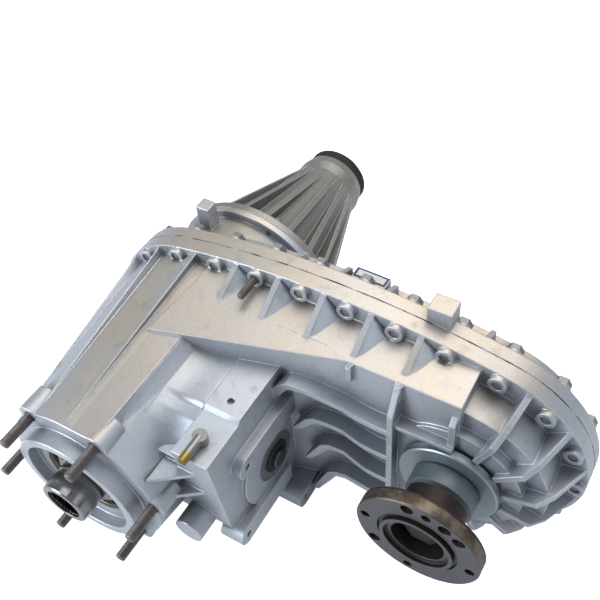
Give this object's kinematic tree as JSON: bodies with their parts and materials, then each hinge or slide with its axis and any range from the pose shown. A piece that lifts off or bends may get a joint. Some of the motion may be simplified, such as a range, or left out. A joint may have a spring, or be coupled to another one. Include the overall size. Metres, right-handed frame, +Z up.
{
  "type": "transfer case",
  "caption": "Chain driven part-time transfer case: split ribbed aluminium housing, splined input, front output flange, shift linkage and finned tail cone.",
  "frame": {"origin": "centre of the gearbox face, on the main shaft axis, at the centre of the circle of adapter studs", "axes": "+Y along the shafts to the rear, -Y towards the gearbox; +X from the main shaft to the front output shaft; +Z up as the case lies on a bench"},
  "size_m": [0.454, 0.4583, 0.2307],
  "materials": {
    "case_aluminium": "bead blasted die casting",
    "housing_aluminium": "die cast, machined faces",
    "turned_steel": "ground and polished",
    "dark_steel": "oil blackened",
    "inner_steel": "machined, oiled",
    "bearing_steel": "ground and polished",
    "chain_steel": "oiled link plates",
    "flange_steel": "turned face, surface rust on the rim and hub",
    "zinc_plate": "zinc plated",
    "bolt_steel": "phosphate coated",
    "bronze": "plain bearing bronze",
    "seal_rubber": "matt moulded rubber",
    "shaft_steel": "ground",
    "magnet_black": "ferrite"
  },
  "bodies": {
    "case": {"front_case": "case_aluminium", "rear_case": "case_aluminium", "tail_housing": "case_aluminium", "annulus_gear": "inner_steel", "annulus_snap_ring": "inner_steel", "input_snap_ring": "inner_steel", "adapter_studs": "dark_steel", "flange_stud": "dark_steel", "input_bearing_outer_race": "bearing_steel", "chain": "chain_steel", "oil_pump_housing": "housing_aluminium", "oil_pickup": "zinc_plate", "sump_magnet": "magnet_black", "rear_bearing_outer_race": "bearing_steel", "tail_bushing": "bronze", "tail_seal": "seal_rubber", "front_output_seal": "seal_rubber", "front_output_bearing_outer_race": "bearing_steel", "front_output_rear_bearing": "bearing_steel", "shift_rail": "inner_steel", "shift_shaft_retainer": "zinc_plate", "shift_shaft_seal": "seal_rubber", "case_bolts": "bolt_steel", "tail_bolts": "bolt_steel", "vent_tube": "zinc_plate", "fill_plug": "bolt_steel", "drain_plug": "bolt_steel"},
    "input_body": {"input_gear": "turned_steel", "input_bearing_inner_race": "bearing_steel"},
    "input_balls": {"input_bearing_balls": "bearing_steel"},
    "carrier": {"carrier_front_plate": "inner_steel", "carrier_rear_plate": "inner_steel", "planet_pins": "inner_steel"},
    "planet_1": {"planet_gear_1": "inner_steel"},
    "planet_2": {"planet_gear_2": "inner_steel"},
    "planet_3": {"planet_gear_3": "inner_steel"},
    "planet_4": {"planet_gear_4": "inner_steel"},
    "planet_5": {"planet_gear_5": "inner_steel"},
    "planet_6": {"planet_gear_6": "inner_steel"},
    "main": {"main_shaft": "inner_steel", "mode_hub": "inner_steel", "drive_sprocket": "inner_steel", "speed_ring": "inner_steel", "oil_pump_rotor": "inner_steel", "rear_bearing_inner_race": "bearing_steel"},
    "range_collar": {"range_sleeve": "inner_steel"},
    "mode_collar": {"mode_sleeve": "inner_steel"},
    "front_output": {"front_output_shaft": "inner_steel", "driven_sprocket": "inner_steel", "output_flange": "flange_steel", "dust_shield": "zinc_plate", "flange_nut": "zinc_plate", "flange_washer": "zinc_plate", "front_output_bearing_inner_race": "bearing_steel"},
    "sector": {"sector_shaft": "shaft_steel", "shift_sector": "inner_steel"},
    "range_fork_body": {"range_fork": "inner_steel"},
    "mode_fork_body": {"mode_fork": "inner_steel"}
  },
  "joints": [
    {"name": "main_shaft_spin", "type": "hinge", "parent": "case", "child": "main", "pos_m": [0, 0.2, 0], "axis": [0, 1, 0], "continuous": true},
    {"name": "input_spin", "type": "hinge", "parent": "case", "child": "input_body", "pos_m": [0, 0, 0], "axis": [0, 1, 0], "continuous": true},
    {"name": "ball_set_spin", "type": "hinge", "parent": "case", "child": "input_balls", "pos_m": [0, 0.006, 0], "axis": [0, 1, 0], "continuous": true},
    {"name": "carrier_spin", "type": "hinge", "parent": "case", "child": "carrier", "pos_m": [0, 0.075, 0], "axis": [0, 1, 0], "continuous": true},
    {"name": "planet_1_spin", "type": "hinge", "parent": "carrier", "child": "planet_1", "pos_m": [0.04988, 0.074, 0], "axis": [0, 1, 0], "continuous": true},
    {"name": "planet_2_spin", "type": "hinge", "parent": "carrier", "child": "planet_2", "pos_m": [0.02494, 0.074, 0.04319], "axis": [0, 1, 0], "continuous": true},
    {"name": "planet_3_spin", "type": "hinge", "parent": "carrier", "child": "planet_3", "pos_m": [-0.02494, 0.074, 0.04319], "axis": [0, 1, 0], "continuous": true},
    {"name": "planet_4_spin", "type": "hinge", "parent": "carrier", "child": "planet_4", "pos_m": [-0.04988, 0.074, 0], "axis": [0, 1, 0], "continuous": true},
    {"name": "planet_5_spin", "type": "hinge", "parent": "carrier", "child": "planet_5", "pos_m": [-0.02494, 0.074, -0.04319], "axis": [0, 1, 0], "continuous": true},
    {"name": "planet_6_spin", "type": "hinge", "parent": "carrier", "child": "planet_6", "pos_m": [0.02494, 0.074, -0.04319], "axis": [0, 1, 0], "continuous": true},
    {"name": "front_output_spin", "type": "hinge", "parent": "case", "child": "front_output", "pos_m": [0.26, 0.15, 0], "axis": [0, 1, 0], "continuous": true},
    {"name": "range_sleeve_slide", "type": "slide", "parent": "main", "child": "range_collar", "axis": [0, 1, 0], "range_m": [0, 0.0071]},
    {"name": "mode_sleeve_slide", "type": "slide", "parent": "main", "child": "mode_collar", "axis": [0, 1, 0], "range_m": [-0.0091, 0]},
    {"name": "sector_turn", "type": "hinge", "parent": "case", "child": "sector", "pos_m": [0.11, 0.101, -0.024], "axis": [1, 0, 0], "range_deg": [0, 25.05]},
    {"name": "range_fork_slide", "type": "slide", "parent": "case", "child": "range_fork_body", "axis": [0, 1, 0], "range_m": [0, 0.007]},
    {"name": "mode_fork_slide", "type": "slide", "parent": "case", "child": "mode_fork_body", "axis": [0, 1, 0], "range_m": [-0.009, 0]}
  ],
  "couplings": [
    {"joint": "input_spin", "follows": "main_shaft_spin", "ratio": 1},
    {"joint": "ball_set_spin", "follows": "main_shaft_spin", "ratio": 0.4462},
    {"joint": "carrier_spin", "follows": "main_shaft_spin", "ratio": 0.36842},
    {"joint": "planet_1_spin", "follows": "main_shaft_spin", "ratio": -1.7684},
    {"joint": "planet_2_spin", "follows": "main_shaft_spin", "ratio": -1.7684},
    {"joint": "planet_3_spin", "follows": "main_shaft_spin", "ratio": -1.7684},
    {"joint": "planet_4_spin", "follows": "main_shaft_spin", "ratio": -1.7684},
    {"joint": "planet_5_spin", "follows": "main_shaft_spin", "ratio": -1.7684},
    {"joint": "planet_6_spin", "follows": "main_shaft_spin", "ratio": -1.7684},
    {"joint": "front_output_spin", "follows": "main_shaft_spin", "ratio": 1},
    {"joint": "sector_turn", "follows": "range_fork_slide", "rad_per_m": 62.333},
    {"joint": "range_sleeve_slide", "follows": "range_fork_slide", "ratio": 1},
    {"joint": "mode_sleeve_slide", "follows": "mode_fork_slide", "ratio": 1}
  ]
}
